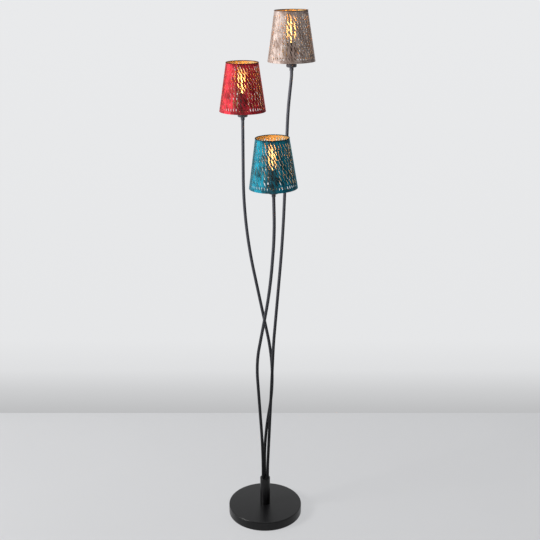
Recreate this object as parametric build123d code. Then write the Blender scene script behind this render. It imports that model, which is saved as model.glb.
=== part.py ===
"""Tree floor lamp: a weighted round base, three bent stems and three pierced conical shades.

Millimetres, +Z up. The origin is on the floor, at the centre of the base.
"""

from build123d import *
import math
import os
from dataclasses import dataclass

os.makedirs("parts", exist_ok=True)

# ---------------------------------------------------------------- driving dimensions

fit = 0.05  # radial clearance of pieces that are screwed or pressed together
running = 0.5  # radial clearance of pieces that turn on each other
gap = 0.3  # face clearance between a turning piece and its seat

# Flats that stand for a round face, to keep the many pieces light
base_sides = 48
hub_sides = 24
shade_sides = 36
holder_sides = 20
bulb_sides = 16
stem_sides = 12
stem_bore_sides = 8
small_sides = 8
shade_ring_sides = 12

# Base
base_diameter = 250.0
base_height = 33.0  # floor to the top of the cover
cover_wall = 1.5
cover_edge = 3.0  # outer radius of the spun edge
pad_thickness = 2.0
plate_thickness = 1.2
weight_thickness = 20.0
weight_margin = 4.5  # between the weight and the cover's side
weight_rim_width = 11.0
plate_screw_count = 3
screw_diameter = 4.0
screw_head_diameter = 7.0
screw_head_height = 1.5
screw_length = 7.0
screw_hole_clearance = 0.2  # radial, in the closing plate

# Cable inlet at the rear of the base
inlet_bore_diameter = 6.5
inlet_neck_diameter = 9.0
inlet_flange_diameter = 12.0
inlet_flange_thickness = 1.5
inlet_length = 18.0
inlet_hook = 1.1  # how far the collar inside stands out from the neck
inlet_hook_length = 2.0
inlet_channel_clearance = 2.0  # of the channel cast for it in the weight
inlet_channel_depth = 21.0

# Terminal block under the weight
terminal_size = (30.0, 17.0, 6.8)
terminal_ways = 3
terminal_bore_diameter = 3.0
terminal_groove = (1.2, 1.2)  # width and depth
terminal_place = (-38.0, 26.0)

# Hollow tie that holds the hub to the base
tie_diameter = 10.0
tie_bore_diameter = 7.0
tie_engagement = 10.0  # length screwed into the hub block
nut_across_flats = 14.0
nut_height = 4.5
washer_diameter = 24.0
washer_thickness = 1.5
tie_tail = 0.9  # thread standing below the nut

# Hub
hub_diameter = 34.0
hub_height = 100.0  # above the base cover
hub_wall = 1.5
hub_cap_thickness = 2.0
hub_spigot_depth = 8.0
hub_cap_chamfer = 0.8
block_height = 42.0
wire_space_height = 7.0
wire_space_margin = 2.0  # beyond the circle of the stems
socket_wall = 1.35
set_screw_angle = 39.0
set_screw_height = 29.0  # above the base cover
set_screw_length = 6.0
set_screw_key = 2.0  # across the flats of its hexagon socket
set_screw_key_depth = 2.0

# Stems
stem_diameter = 10.0
stem_wall = 1.2
collar_wall = 1.25
collar_length = 10.0
collar_chamfer = 0.8

# Lampholder, small screw size; heights are from the bottom plane of the shade
holder_diameter = 28.0
holder_wall = 1.8
holder_top = 56.0
holder_lip = 2.0
holder_mouth_diameter = 17.2
holder_cap_wall = 1.95
holder_cap_bottom = -17.5
holder_cap_floor = 2.2
holder_cap_edge = 4.0
core_bottom = 20.0
core_floor = 32.0
shell_bore_diameter = 14.3
shell_wall = 0.5
shell_flange = 1.5  # how far its foot reaches in
shell_top_gap = 0.5  # below the sleeve's lip
contact_width = 4.0
contact_thickness = 0.6
contact_foot = (-4.5, -1.5)  # across the core's floor
contact_top = (-0.6, 2.0)  # under the bulb's tip
contact_slant = 0.6  # how far its strip leans in at the top
stem_in_holder = 5.0  # length of stem above the cap's floor

# Shade
shade_bottom_diameter = 145.0
shade_top_diameter = 100.0
shade_height = 150.0
shade_wall = 0.8
ring_size = 2.0  # section of the top and bottom rings
carrier_thickness = 2.0
carrier_washer_width = 5.55
spoke_width = 3.0
spoke_count = 3
spoke_angle = 90.0
shade_ring_width = 4.95
shade_ring_height = 6.0

# Slits of the shade, cut in rows that are half a step out of line
slit_rows = 6
slits_per_row = 9
slit_length = 15.0
slit_width = 3.2
slit_slant = 20.0  # degrees off upright, leaning left as seen from outside
slit_band = 12.0  # plain band at the top and bottom
slit_shoulder = 0.25  # of its half length, where it is widest
slit_cut_depth = 3.3  # of the cutter, to each side of the wall's outer face

# Bulb; heights are from its contact tip
bulb_cap_diameter = 13.4
bulb_cap_top = 22.0
bulb_contact_diameter = 4.8
bulb_contact_height = 1.2
bulb_insulator_top = 5.2
bulb_tip = 34.0  # contact tip above the shade's bottom plane
bulb_length = 100.0
bulb_diameter = 35.0
bulb_neck_diameter = 12.4
bulb_widest = 48.0  # height of the widest place
bulb_tip_radius = 1.6
bulb_wall = 0.8
bulb_neck_depth = 8.0
bulb_steps = 3  # flats up each half of the outline
filament_count = 3
filament_length = 36.0
filament_bottom = 44.0
filament_spread = 4.5
filament_diameter = 1.6
filament_plate = 0.8  # thickness, and its edge beyond the filaments
mount_foot_diameter = 8.4
mount_neck_diameter = 3.2
mount_neck_drop = 8.0  # below the lower plate


@dataclass
class Light:
    """One stem with its lampholder, shade and bulb."""

    name: str
    place: tuple  # centre of the shade's bottom plane
    lean: float  # degrees that the light leans to the right
    hub_angle: float  # where its stem enters the hub
    straight: float  # height of the first bend's corner
    first_radius: float
    bends: tuple  # corners of the stem as (x, y, z, radius)
    top_straight: float  # last corner below the shade's bottom plane, or 0
    last_radius: float


lights = (
    Light(
        "red",
        (-68, 81, 1381),
        0.0,
        99.0,
        285.0,
        1100.0,
        ((36, 16, 523, 700), (-68, 81, 1016, 1300)),
        0.0,
        0.0,
    ),
    Light(
        "taupe",
        (81.5, 50, 1536),
        -0.8,
        -21.0,
        170.0,
        1400.0,
        ((28.5, 0, 637, 700), (58, 28, 992, 3500), (71.5, 41, 1389, 1000)),
        43.0,
        150.0,
    ),
    Light(
        "teal",
        (27, -125, 1188),
        -1.4,
        -141.0,
        241.0,
        2400.0,
        ((-28, -20, 574, 400), (17, -101, 856, 1050)),
        143.0,
        800.0,
    ),
)

# ---------------------------------------------------------------- sizes that follow

base_r = base_diameter / 2
cover_inner_r = base_r - cover_wall
plate_r = cover_inner_r - gap
plate_top = pad_thickness + plate_thickness
weight_r = cover_inner_r - weight_margin
weight_top = base_height - cover_wall
weight_bottom = weight_top - weight_thickness
rim_mid_r = weight_r - weight_rim_width / 2
pad_r = weight_r - weight_rim_width - screw_head_diameter / 2

tie_r = tie_diameter / 2
block_r = hub_diameter / 2 - hub_wall - fit
stem_r = stem_diameter / 2
socket_r = stem_r + fit
socket_circle = block_r - socket_wall - socket_r
stem_seat = base_height + tie_engagement + wire_space_height
block_top = base_height + block_height
hub_top = base_height + hub_height

holder_r = holder_diameter / 2
collar_bottom = holder_cap_bottom - collar_length
stem_end = holder_cap_bottom + holder_cap_floor + stem_in_holder
carrier_bottom = 0.0
carrier_top = carrier_bottom + carrier_thickness
holder_shoulder = carrier_bottom - gap
bulb_foot = bulb_cap_top - bulb_neck_depth + fit
shade_taper = (shade_bottom_diameter - shade_top_diameter) / 2 / shade_height


def shade_r(height):
    """Outer radius of the shade at a height above its bottom plane."""
    return shade_bottom_diameter / 2 - shade_taper * height


def ring_r(height):
    """Outer radius of a ring that fits inside the shade's wall up to a height."""
    return shade_r(height) - shade_wall - fit


# ---------------------------------------------------------------- helpers


def turned(sides, *outline):
    """Turned solid with flats for its round faces, drawn round the outline's radii."""
    reach = 1 / math.cos(math.pi / sides)

    def corner(point, index):
        radius, height = point
        angle = 2 * math.pi * (index + 0.5) / sides
        return (radius * reach * math.cos(angle), radius * reach * math.sin(angle), height)

    def rim(point):
        return Wire.make_polygon([corner(point, index) for index in range(sides)])

    faces = []
    for start, end in zip(outline, outline[1:] + outline[:1]):
        if start[1] == end[1]:
            inner, outer = sorted((start, end))
            faces.append(Face(rim(outer), [rim(inner)] if inner[0] else []))
        elif start[0] or end[0]:
            for index in range(sides):
                low = [corner(start, index), corner(start, index + 1)]
                high = [corner(end, index + 1), corner(end, index)]
                faces.append(Face(Wire.make_polygon(low + high)))
    return Solid(Shell(faces))


def tube(sides, outer, inner, bottom, top):
    """Straight ring or tube between two heights."""
    return turned(sides, (inner, bottom), (outer, bottom), (outer, top), (inner, top))


def rod(sides, radius, bottom, top):
    """Upright rod between two heights."""
    return turned(sides, (0, bottom), (radius, bottom), (radius, top), (0, top))


def light_frame(light):
    """Frame of a light: the centre of its shade's bottom plane, with its lean."""
    return Pos(*light.place) * Rot(0, light.lean, 0)


def save(node, shape):
    shape.label = node
    export_step(shape, f"parts/{node}.step")


# ---------------------------------------------------------------- base


def base_cover():
    """Spun steel shell, with holes for the tie and for the cable inlet."""
    shoulder = []
    for turn in (90, 45, 0):
        out = cover_edge * math.sin(math.radians(turn))
        up = cover_edge * math.cos(math.radians(turn))
        shoulder.append((base_r - cover_edge + out, base_height - cover_edge + up))
    shell = turned(
        base_sides,
        (cover_inner_r, pad_thickness),
        (base_r, pad_thickness),
        *shoulder,
        (0, base_height),
        (0, weight_top),
        (base_r - cover_edge, weight_top),
        (cover_inner_r, base_height - cover_edge),
    )
    shell -= tie_hole(weight_top, base_height)
    return shell - inlet_hole(inlet_neck_diameter / 2 + fit, cover_wall * 2)


def tie_hole(bottom, top):
    return rod(stem_sides, tie_r + fit, bottom, top)


def inlet_height():
    """Height of the inlet's axis, clear of the closing plate."""
    return plate_top + inlet_flange_diameter / 2


def inlet_hole(radius, depth):
    """Radial hole at the rear, in from the cover's side."""
    return Pos(0, base_r, inlet_height()) * Rot(-90, 0, 0) * rod(bulb_sides, radius, -depth, depth)


def screw_places():
    """Places of the closing plate's screws, round the middle of the weight's rim."""
    return PolarLocations(rim_mid_r, plate_screw_count, 30)


def base_weight():
    """Cast weight: a disc with a rim that the closing plate is screwed to."""
    cast = turned(
        base_sides,
        (0, weight_bottom),
        (weight_r - weight_rim_width, weight_bottom),
        (weight_r - weight_rim_width, plate_top),
        (weight_r, plate_top),
        (weight_r, weight_top),
        (0, weight_top),
    )
    cast -= tie_hole(weight_bottom, weight_top)
    channel_width = inlet_flange_diameter + inlet_channel_clearance
    channel = Box(channel_width, inlet_channel_depth * 2, channel_width)
    cast -= Pos(0, weight_r, inlet_height()) * channel
    tapped = rod(small_sides, screw_diameter / 2 + fit, plate_top, pad_thickness + screw_length)
    return cast - screw_places() * tapped


def base_plate():
    """Sheet disc that closes the underside."""
    hole = rod(small_sides, screw_diameter / 2 + screw_hole_clearance, pad_thickness, plate_top)
    return rod(base_sides, plate_r, pad_thickness, plate_top) - screw_places() * hole


def plate_screws():
    """Pan-head screws of the closing plate."""
    head_bottom = pad_thickness - screw_head_height
    screw = turned(
        small_sides,
        (0, head_bottom),
        (screw_head_diameter / 2, head_bottom),
        (screw_head_diameter / 2, pad_thickness),
        (screw_diameter / 2, pad_thickness),
        (screw_diameter / 2, pad_thickness + screw_length),
        (0, pad_thickness + screw_length),
    )
    return Compound(screw_places() * screw)


def base_pad():
    """Foam disc that the lamp stands on."""
    return rod(base_sides, pad_r, 0, pad_thickness)


def cable_bush():
    """Bush of the cable inlet: a flange outside the cover, a neck and a collar inside."""
    bore_r = inlet_bore_diameter / 2
    neck_r = inlet_neck_diameter / 2
    flange_r = inlet_flange_diameter / 2
    inside = cover_wall + fit + flange_r**2 / base_diameter
    bush = turned(
        bulb_sides,
        (0, inlet_flange_thickness),
        (flange_r, inlet_flange_thickness),
        (flange_r, 0),
        (neck_r, 0),
        (neck_r, -inside),
        (neck_r + inlet_hook, -inside),
        (neck_r, -inside - inlet_hook_length),
        (neck_r, inlet_flange_thickness - inlet_length),
        (0, inlet_flange_thickness - inlet_length),
    )
    bush -= Cylinder(bore_r, inlet_length * 2)
    return Pos(0, base_r, inlet_height()) * Rot(-90, 0, 0) * bush


def terminal_block():
    """Screw terminals for the stems' wires, under the weight."""
    length, width, height = terminal_size
    groove_width, groove_depth = terminal_groove
    top = (Align.CENTER, Align.CENTER, Align.MAX)
    block = Box(length, width, height, align=top)
    step = length / terminal_ways
    middle = (terminal_ways - 1) / 2
    ways = Locations(*[(step * (way - middle), 0, -height / 2) for way in range(terminal_ways)])
    block -= ways * (Rot(90, 0, 0) * rod(small_sides, terminal_bore_diameter / 2, -width, width))
    grooves = Locations(*[(step * (way - middle - 0.5), 0, -height) for way in range(1, terminal_ways)])
    block -= grooves * Box(groove_width, width * 2, groove_depth * 2)
    return Pos(*terminal_place, weight_bottom) * block


# ---------------------------------------------------------------- tie and hub


def tie():
    """Hollow threaded rod through the weight, cover and hub block."""
    bottom = weight_bottom - washer_thickness - nut_height - tie_tail
    return tube(stem_sides, tie_r, tie_bore_diameter / 2, bottom, base_height + tie_engagement)


def tie_washer():
    bottom = weight_bottom - washer_thickness
    return tube(stem_sides, washer_diameter / 2, tie_r + fit, bottom, weight_bottom)


def tie_nut():
    """Hexagon nut under the washer."""
    top = weight_bottom - washer_thickness
    hexagon = RegularPolygon(nut_across_flats / 2, 6, major_radius=False)
    return Pos(0, 0, top) * extrude(hexagon, -nut_height) - tie_hole(0, top)


def hub_place(light):
    """Centre of a light's stem in the hub."""
    return Rot(0, 0, light.hub_angle) * Pos(socket_circle, 0, 0)


def hub_places():
    """Centres of the three stems in the hub."""
    return Locations(*[hub_place(light).position for light in lights])


def set_screw_frame():
    """Frame on the block's axis, with Z pointing out along the set screw."""
    return Pos(0, 0, base_height + set_screw_height) * Rot(0, 0, set_screw_angle) * Rot(0, 90, 0)


def set_screw_hole():
    start = hub_diameter / 2 - set_screw_length - gap
    return set_screw_frame() * rod(small_sides, screw_diameter / 2 + fit, start, hub_diameter)


def hub_block():
    """Block screwed onto the tie, with a socket for each stem and a space for the wires."""
    tie_top = base_height + tie_engagement
    block = rod(hub_sides, block_r, base_height, block_top)
    block -= tie_hole(base_height, tie_top)
    block -= rod(hub_sides, socket_circle + wire_space_margin, tie_top, stem_seat)
    block -= hub_places() * rod(stem_sides, socket_r, stem_seat, block_top)
    return block - set_screw_hole()


def hub_tube():
    outer = hub_diameter / 2
    top = hub_top - hub_cap_thickness
    return tube(hub_sides, outer, outer - hub_wall, base_height, top) - set_screw_hole()


def hub_cap():
    """Cap with a spigot inside the tube and a hole for each stem."""
    outer = hub_diameter / 2
    bottom = hub_top - hub_cap_thickness
    cap = turned(
        hub_sides,
        (0, bottom - hub_spigot_depth),
        (block_r, bottom - hub_spigot_depth),
        (block_r, bottom),
        (outer, bottom),
        (outer, hub_top - hub_cap_chamfer),
        (outer - hub_cap_chamfer, hub_top),
        (0, hub_top),
    )
    return cap - hub_places() * rod(stem_sides, socket_r, bottom - hub_spigot_depth, hub_top)


def hub_screw():
    """Set screw that keeps the tube on the block."""
    top = hub_diameter / 2 - gap
    screw = rod(small_sides, screw_diameter / 2, top - set_screw_length, top)
    hexagon = RegularPolygon(set_screw_key / 2, 6, major_radius=False)
    return set_screw_frame() * (screw - Pos(0, 0, top) * extrude(hexagon, -set_screw_key_depth))


# ---------------------------------------------------------------- stems


def stem_route(light):
    """Corners and bend radii of a stem, from its seat in the hub into its lampholder."""
    x, y, _ = hub_place(light).position
    corners = [(x, y, stem_seat), (x, y, light.straight)]
    radii = [light.first_radius]
    for *corner, radius in light.bends:
        corners.append(tuple(corner))
        radii.append(radius)
    frame = light_frame(light)
    if light.top_straight:
        corners.append(tuple((frame * Pos(0, 0, -light.top_straight)).position))
        radii.append(light.last_radius)
    corners.append(tuple((frame * Pos(0, 0, stem_end)).position))
    return corners, radii


def stem(light):
    """Tube bent in tangent arcs."""
    corners, radii = stem_route(light)
    path = FilletPolyline(*corners, radius=radii)
    ring = RegularPolygon(stem_r, stem_sides) - RegularPolygon(stem_r - stem_wall, stem_bore_sides)
    bent = sweep(Pos(*corners[0]) * ring, path=path)
    spread = bent.volume / ring.area
    print(light.name, "stem length", round(path.length), "volume over section", round(spread))
    return bent


def stem_collar():
    """Locknut sleeve under the lampholder."""
    outer = socket_r + collar_wall
    return turned(
        stem_sides,
        (socket_r, collar_bottom),
        (outer - collar_chamfer, collar_bottom),
        (outer, collar_bottom + collar_chamfer),
        (outer, holder_cap_bottom),
        (socket_r, holder_cap_bottom),
    )


# ---------------------------------------------------------------- lampholder


def holder_cap():
    """Round cap screwed onto the stem, which the sleeve screws into."""
    inner = holder_r + fit
    outer = inner + holder_cap_wall
    floor = holder_cap_bottom + holder_cap_floor
    return turned(
        holder_sides,
        (socket_r, holder_cap_bottom),
        (outer - holder_cap_edge, holder_cap_bottom),
        (outer, holder_cap_bottom + holder_cap_edge),
        (outer, holder_shoulder),
        (inner, holder_shoulder),
        (inner, floor),
        (socket_r, floor),
    )


def holder_sleeve():
    """Outer sleeve, with a lip at the top that keeps the core in."""
    inner = holder_r - holder_wall
    return turned(
        holder_sides,
        (inner, holder_cap_bottom + holder_cap_floor),
        (holder_r, holder_cap_bottom + holder_cap_floor),
        (holder_r, holder_top),
        (holder_mouth_diameter / 2, holder_top),
        (holder_mouth_diameter / 2, holder_top - holder_lip),
        (inner, holder_top - holder_lip),
    )


def holder_core():
    """Insulating core that carries the screw shell and the centre contact."""
    outer = holder_r - holder_wall - fit
    inner = shell_bore_diameter / 2 + shell_wall + fit
    top = holder_top - holder_lip
    return turned(
        holder_sides,
        (0, core_bottom),
        (outer, core_bottom),
        (outer, top),
        (inner, top),
        (inner, core_floor),
        (0, core_floor),
    )


def holder_shell():
    """Screw shell, drawn with a flange that stands on the core's floor."""
    inner = shell_bore_diameter / 2
    outer = inner + shell_wall
    foot = core_floor + shell_wall
    top = holder_top - holder_lip - shell_top_gap
    return turned(
        holder_sides,
        (inner - shell_flange, core_floor),
        (outer, core_floor),
        (outer, top),
        (inner, top),
        (inner, foot),
        (inner - shell_flange, foot),
    )


def holder_contact():
    """Bent strip that presses on the bulb's tip."""
    top = bulb_tip - gap
    foot_end, foot_bend = contact_foot
    top_bend, top_end = contact_top
    side = Polyline(
        (foot_end, core_floor),
        (foot_bend, core_floor),
        (top_bend + contact_slant, top - contact_thickness),
        (top_end, top - contact_thickness),
        (top_end, top),
        (top_bend, top),
        (foot_bend - contact_slant, core_floor + contact_thickness),
        (foot_end, core_floor + contact_thickness),
        close=True,
    )
    return extrude(Plane.XZ * make_face(side), contact_width / 2, both=True)


def shade_ring():
    """Threaded ring that holds the shade's carrier, with flats to grip it by."""
    bottom = carrier_top + gap
    bore_r = holder_r + fit
    flats = RegularPolygon(bore_r + shade_ring_width, shade_ring_sides, major_radius=False)
    bore = Rot(0, 0, 180 / holder_sides) * RegularPolygon(bore_r, holder_sides, major_radius=False)
    return Pos(0, 0, bottom) * extrude(flats - bore, shade_ring_height)


# ---------------------------------------------------------------- shade


def shade_carrier():
    """Washer round the lampholder, spokes and the shade's bottom ring."""
    bore = holder_r + running
    washer_r = bore + carrier_washer_width
    outer = ring_r(carrier_top)
    carrier = rod(holder_sides, washer_r, carrier_bottom, carrier_top)
    carrier += tube(shade_sides, outer, outer - ring_size, carrier_bottom, carrier_top)
    reach = outer - ring_size / 2
    spoke = Box(reach, spoke_width, carrier_thickness, align=(Align.MIN, Align.CENTER, Align.MIN))
    for place in PolarLocations(0, spoke_count, spoke_angle):
        carrier += place * Pos(0, 0, carrier_bottom) * spoke
    return carrier - Cylinder(bore, carrier_top * 4)


def shade_top_ring():
    """Ring inside the wall's top edge."""
    outer = ring_r(shade_height)
    return tube(shade_sides, outer, outer - ring_size, shade_height - ring_size, shade_height)


def slit_cutters():
    """Lozenge cutters through the wall, row by row."""
    half = slit_length / 2
    side = slit_width / 2
    shoulder = half * slit_shoulder
    outline = Polyline((0, -half), (side, -shoulder), (0, half), (-side, shoulder), close=True)
    cutter = extrude(Rot(0, 0, slit_slant) * make_face(outline), slit_cut_depth, both=True)
    low = slit_band + half
    row_step = (shade_height - 2 * low) / (slit_rows - 1)
    cutters = []
    for row in range(slit_rows):
        height = low + row * row_step
        for column in range(slits_per_row):
            angle = 360 / slits_per_row * (column + row / 2)
            outward = Rot(0, 0, angle) * Pos(shade_r(height), 0, height) * Rot(0, 90, 0) * Rot(0, 0, 90)
            cutters.append(outward * cutter)
    return cutters


def shade_cover():
    """Conical wall pierced with slits."""
    bottom_r = shade_r(0)
    top_r = shade_r(shade_height)
    wall = turned(
        shade_sides,
        (bottom_r - shade_wall, 0),
        (bottom_r, 0),
        (top_r, shade_height),
        (top_r - shade_wall, shade_height),
    )
    return wall - slit_cutters()


# ---------------------------------------------------------------- bulb


def bulb_cap():
    """Screw cap with its insulator and contact tip."""
    contact = bulb_contact_diameter / 2
    outer = bulb_cap_diameter / 2
    neck = bulb_neck_diameter / 2 + fit
    return turned(
        bulb_sides,
        (0, 0),
        (contact, 0),
        (contact, bulb_contact_height),
        (outer, bulb_insulator_top),
        (outer, bulb_cap_top),
        (neck, bulb_cap_top),
        (neck, bulb_cap_top - bulb_neck_depth),
        (0, bulb_cap_top - bulb_neck_depth),
    )


def bulb_outline(inset):
    """Half outline of the candle-shaped glass, inset by a wall."""
    neck = bulb_neck_diameter / 2 - inset
    widest = bulb_diameter / 2 - inset
    top = bulb_length - inset
    outline = [(0, bulb_foot + inset), (neck, bulb_foot + inset)]
    for step in range(bulb_steps + 1):
        share = step / bulb_steps
        swell = math.sin(share * math.pi / 2) ** 1.4
        height = bulb_cap_top + (bulb_widest - bulb_cap_top) * share
        outline.append((neck + (widest - neck) * swell, height))
    for step in range(1, bulb_steps + 1):
        share = math.sin(step / bulb_steps * math.pi / 2)
        radius = bulb_tip_radius + (widest - bulb_tip_radius) * (1 - share**2) ** 0.75
        outline.append((radius, bulb_widest + (top - bulb_widest) * share))
    return outline + [(0, top)]


def bulb_glass():
    """Closed envelope, hollow, with its neck in the cap."""
    return turned(bulb_sides, *bulb_outline(0)) - turned(bulb_sides, *bulb_outline(bulb_wall))


def bulb_filament():
    """Glass mount with a post, and upright filaments between two plates."""
    foot = bulb_foot + bulb_wall
    top = filament_bottom + filament_length
    neck = filament_bottom - mount_neck_drop
    post_r = filament_diameter / 2
    mount = turned(
        small_sides,
        (0, foot),
        (mount_foot_diameter / 2, foot),
        (mount_neck_diameter / 2, neck),
        (post_r, neck),
        (post_r, top),
        (0, top),
    )
    plate = extrude(RegularPolygon(filament_spread + filament_plate, 6), -filament_plate)
    for level in (filament_bottom, top):
        mount += Pos(0, 0, level) * plate
    filament = extrude(RegularPolygon(post_r, 4), filament_length)
    for place in PolarLocations(filament_spread, filament_count):
        mount += place * Pos(0, 0, filament_bottom) * filament
    return mount


# ---------------------------------------------------------------- assembly

save("base_cover", base_cover())
save("base_weight", base_weight())
save("base_plate", base_plate())
save("plate_screws", plate_screws())
save("base_pad", base_pad())
save("cable_bush", cable_bush())
save("terminal_block", terminal_block())
save("hub_tie", tie())
save("tie_washer", tie_washer())
save("tie_nut", tie_nut())
save("hub_block", hub_block())
save("hub_tube", hub_tube())
save("hub_cap", hub_cap())
save("hub_screw", hub_screw())

light_pieces = {
    "stem_collar": stem_collar(),
    "holder_cap": holder_cap(),
    "holder_sleeve": holder_sleeve(),
    "holder_core": holder_core(),
    "holder_shell": holder_shell(),
    "holder_contact": holder_contact(),
    "shade_ring": shade_ring(),
    "shade_carrier": shade_carrier(),
    "shade_top_ring": shade_top_ring(),
    "shade_cover": shade_cover(),
}
bulb_pieces = {
    "bulb_cap": bulb_cap(),
    "bulb_glass": bulb_glass(),
    "bulb_filament": bulb_filament(),
}

for light in lights:
    save(f"{light.name}_stem", stem(light))
    frame = light_frame(light)
    for node, piece in light_pieces.items():
        save(f"{light.name}_{node}", frame * piece)
    for node, piece in bulb_pieces.items():
        save(f"{light.name}_{node}", frame * Pos(0, 0, bulb_tip) * piece)
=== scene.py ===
# Looks of the tree floor lamp: bent stems, pierced velvet shades and lit bulbs over the CAD frame
import math

import bmesh
import bpy
from mathutils import Matrix, Vector


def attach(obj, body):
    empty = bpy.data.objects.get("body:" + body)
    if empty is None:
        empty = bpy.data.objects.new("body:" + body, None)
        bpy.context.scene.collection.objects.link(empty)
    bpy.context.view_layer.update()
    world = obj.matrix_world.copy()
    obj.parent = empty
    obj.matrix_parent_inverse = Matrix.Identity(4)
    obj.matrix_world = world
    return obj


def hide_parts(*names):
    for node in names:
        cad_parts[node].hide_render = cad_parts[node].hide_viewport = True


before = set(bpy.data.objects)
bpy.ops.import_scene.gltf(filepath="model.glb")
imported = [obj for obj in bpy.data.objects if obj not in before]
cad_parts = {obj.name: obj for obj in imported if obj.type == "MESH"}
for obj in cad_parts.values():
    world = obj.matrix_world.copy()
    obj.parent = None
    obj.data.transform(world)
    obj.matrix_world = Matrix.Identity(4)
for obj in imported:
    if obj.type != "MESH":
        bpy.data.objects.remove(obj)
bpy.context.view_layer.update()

mm = 0.001
print("frame loaded:", len(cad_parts), "nodes")

# The three lights, in mm and degrees: middle of the shade's foot, lean to the right, and the corners
# of the stem with their bend radii
lamps = {
    "red": {
        "place": (-68, 81, 1381), "lean": 0.0, "hubAngle": 99, "straight": 285, "firstBend": 1100,
        "bends": [(36, 16, 523, 700), (-68, 81, 1016, 1300)], "topRun": 0, "topBend": 0,
    },
    "taupe": {
        "place": (81.5, 50, 1536), "lean": -0.8, "hubAngle": -21, "straight": 170, "firstBend": 1400,
        "bends": [(28.5, 0, 637, 700), (58, 28, 992, 3500), (71.5, 41, 1389, 1000)],
        "topRun": 43, "topBend": 150,
    },
    "teal": {
        "place": (27, -125, 1188), "lean": -1.4, "hubAngle": -141, "straight": 241, "firstBend": 2400,
        "bends": [(-28, -20, 574, 400), (17, -101, 856, 1050)], "topRun": 143, "topBend": 800,
    },
}


def lampFrame(lamp):  # from a light's own coordinates to the object's
    place = Vector(lamp["place"]) * mm
    return Matrix.Translation(place) @ Matrix.Rotation(math.radians(lamp["lean"]), 4, "Y")


class Wire:  # a socket that sums are written with
    def __init__(self, graph, socket):
        self.graph, self.socket = graph, socket

    def __add__(self, other):
        return self.graph.math("ADD", self, other)

    def __radd__(self, other):
        return self.graph.math("ADD", other, self)

    def __sub__(self, other):
        return self.graph.math("SUBTRACT", self, other)

    def __rsub__(self, other):
        return self.graph.math("SUBTRACT", other, self)

    def __mul__(self, other):
        return self.graph.math("MULTIPLY", self, other)

    def __rmul__(self, other):
        return self.graph.math("MULTIPLY", other, self)

    def __truediv__(self, other):
        return self.graph.math("DIVIDE", self, other)

    def __rtruediv__(self, other):
        return self.graph.math("DIVIDE", other, self)


def pick(sockets, key):  # by place in the list, identifier or name
    if isinstance(key, int):
        return sockets[key]
    return next(s for s in sockets if key in (s.identifier, s.name))


class Graph:
    def __init__(self, tree):
        self.tree = tree

    def node(self, kind, settings=None, values=None, output=0):  # a list of values joins them in one socket
        made = self.tree.nodes.new(kind)
        for key, value in (settings or {}).items():
            if key == "stops":
                elements = made.color_ramp.elements
                while len(elements) < len(value):
                    elements.new(1.0)
                for element, (place, colour) in zip(elements, value):
                    element.position = place
                    element.color = (*colour, 1)
            else:
                setattr(made, key, value)
        for key, value in (values or {}).items():
            socket = pick(made.inputs, key)
            for part in value if isinstance(value, list) else [value]:
                if isinstance(part, Wire):
                    self.tree.links.new(part.socket, socket)
                else:
                    socket.default_value = part
        return Wire(self, pick(made.outputs, output)) if len(made.outputs) else made

    def math(self, operation, *terms):
        return self.node("ShaderNodeMath", {"operation": operation}, dict(enumerate(terms)))

    def vector(self, x=0.0, y=0.0, z=0.0):
        return self.node("ShaderNodeCombineXYZ", values={"X": x, "Y": y, "Z": z})

    def part(self, vector, axis):
        return self.node("ShaderNodeSeparateXYZ", values={0: vector}, output=axis)


class Finish(Graph):  # a material, with the nodes that most finishes share
    def __init__(self, name):
        self.material = bpy.data.materials.new(name)
        self.material.use_nodes = True
        super().__init__(self.material.node_tree)
        self.tree.nodes.clear()

    def coords(self, source="Object", stretch=(1, 1, 1)):
        start = self.node("ShaderNodeTexCoord", output=source)
        return self.node("ShaderNodeMapping", values={"Vector": start, "Scale": stretch})

    def slanted(self, turn, length):  # UV that draws a pattern out along a line turned by some degrees
        start = self.node("ShaderNodeTexCoord", output="UV")
        return self.node("ShaderNodeMapping", {"vector_type": "TEXTURE"}, {
            "Vector": start, "Rotation": (0, 0, math.radians(turn)), "Scale": (1, length, 1)})

    def noise(self, coords, scale, detail=3.0, rough=0.55):
        values = {"Vector": coords, "Scale": scale, "Detail": detail, "Roughness": rough}
        return self.node("ShaderNodeTexNoise", values=values)

    def between(self, share, low, high):  # a colour between two others
        ends = {"Factor_Float": share, "A_Color": opaque(low), "B_Color": opaque(high)}
        return self.node("ShaderNodeMix", {"data_type": "RGBA"}, ends, "Result_Color")

    def ramp(self, share, *stops):
        return self.node("ShaderNodeValToRGB", {"stops": stops}, {"Fac": share})

    def spread(self, share, low, high):  # a number from low to high as share goes from 0 to 1
        return share * (high - low) + low

    def bump(self, height, strength, distance):
        values = {"Height": height, "Strength": strength, "Distance": distance}
        return self.node("ShaderNodeBump", values=values)

    def surface(self, **values):  # baseColor sets Base Color, and so on
        names = {key: "".join(" " + c if c.isupper() else c for c in key).title() for key in values}
        names["specular"] = "Specular IOR Level"
        shader = self.node("ShaderNodeBsdfPrincipled", values={names[key]: values[key] for key in values})
        self.node("ShaderNodeOutputMaterial", values={"Surface": shader})
        return self.material


def opaque(colour):
    return colour if isinstance(colour, Wire) else (*colour, 1)


def mixed(low, high, share):
    return tuple(a + (b - a) * share for a, b in zip(low, high))


# Crushed velvet with random patches, and bands round a shade with wider slits and painted shade that darkens
# the cloth: angles in degrees, the cloth's mean radius in mm
clothWave = {"lobes": 5, "start": 96, "radius": 61.0, "tone": 0.018, "bandShade": 0.7, "patchiness": 2.5}
clothWaveStart = math.radians(clothWave["start"] * clothWave["lobes"])
velvetPile = {"patches": 28, "pile": 900, "crush": 150, "pileLine": (12, 3), "crushLine": (14, 3.5)}


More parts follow.
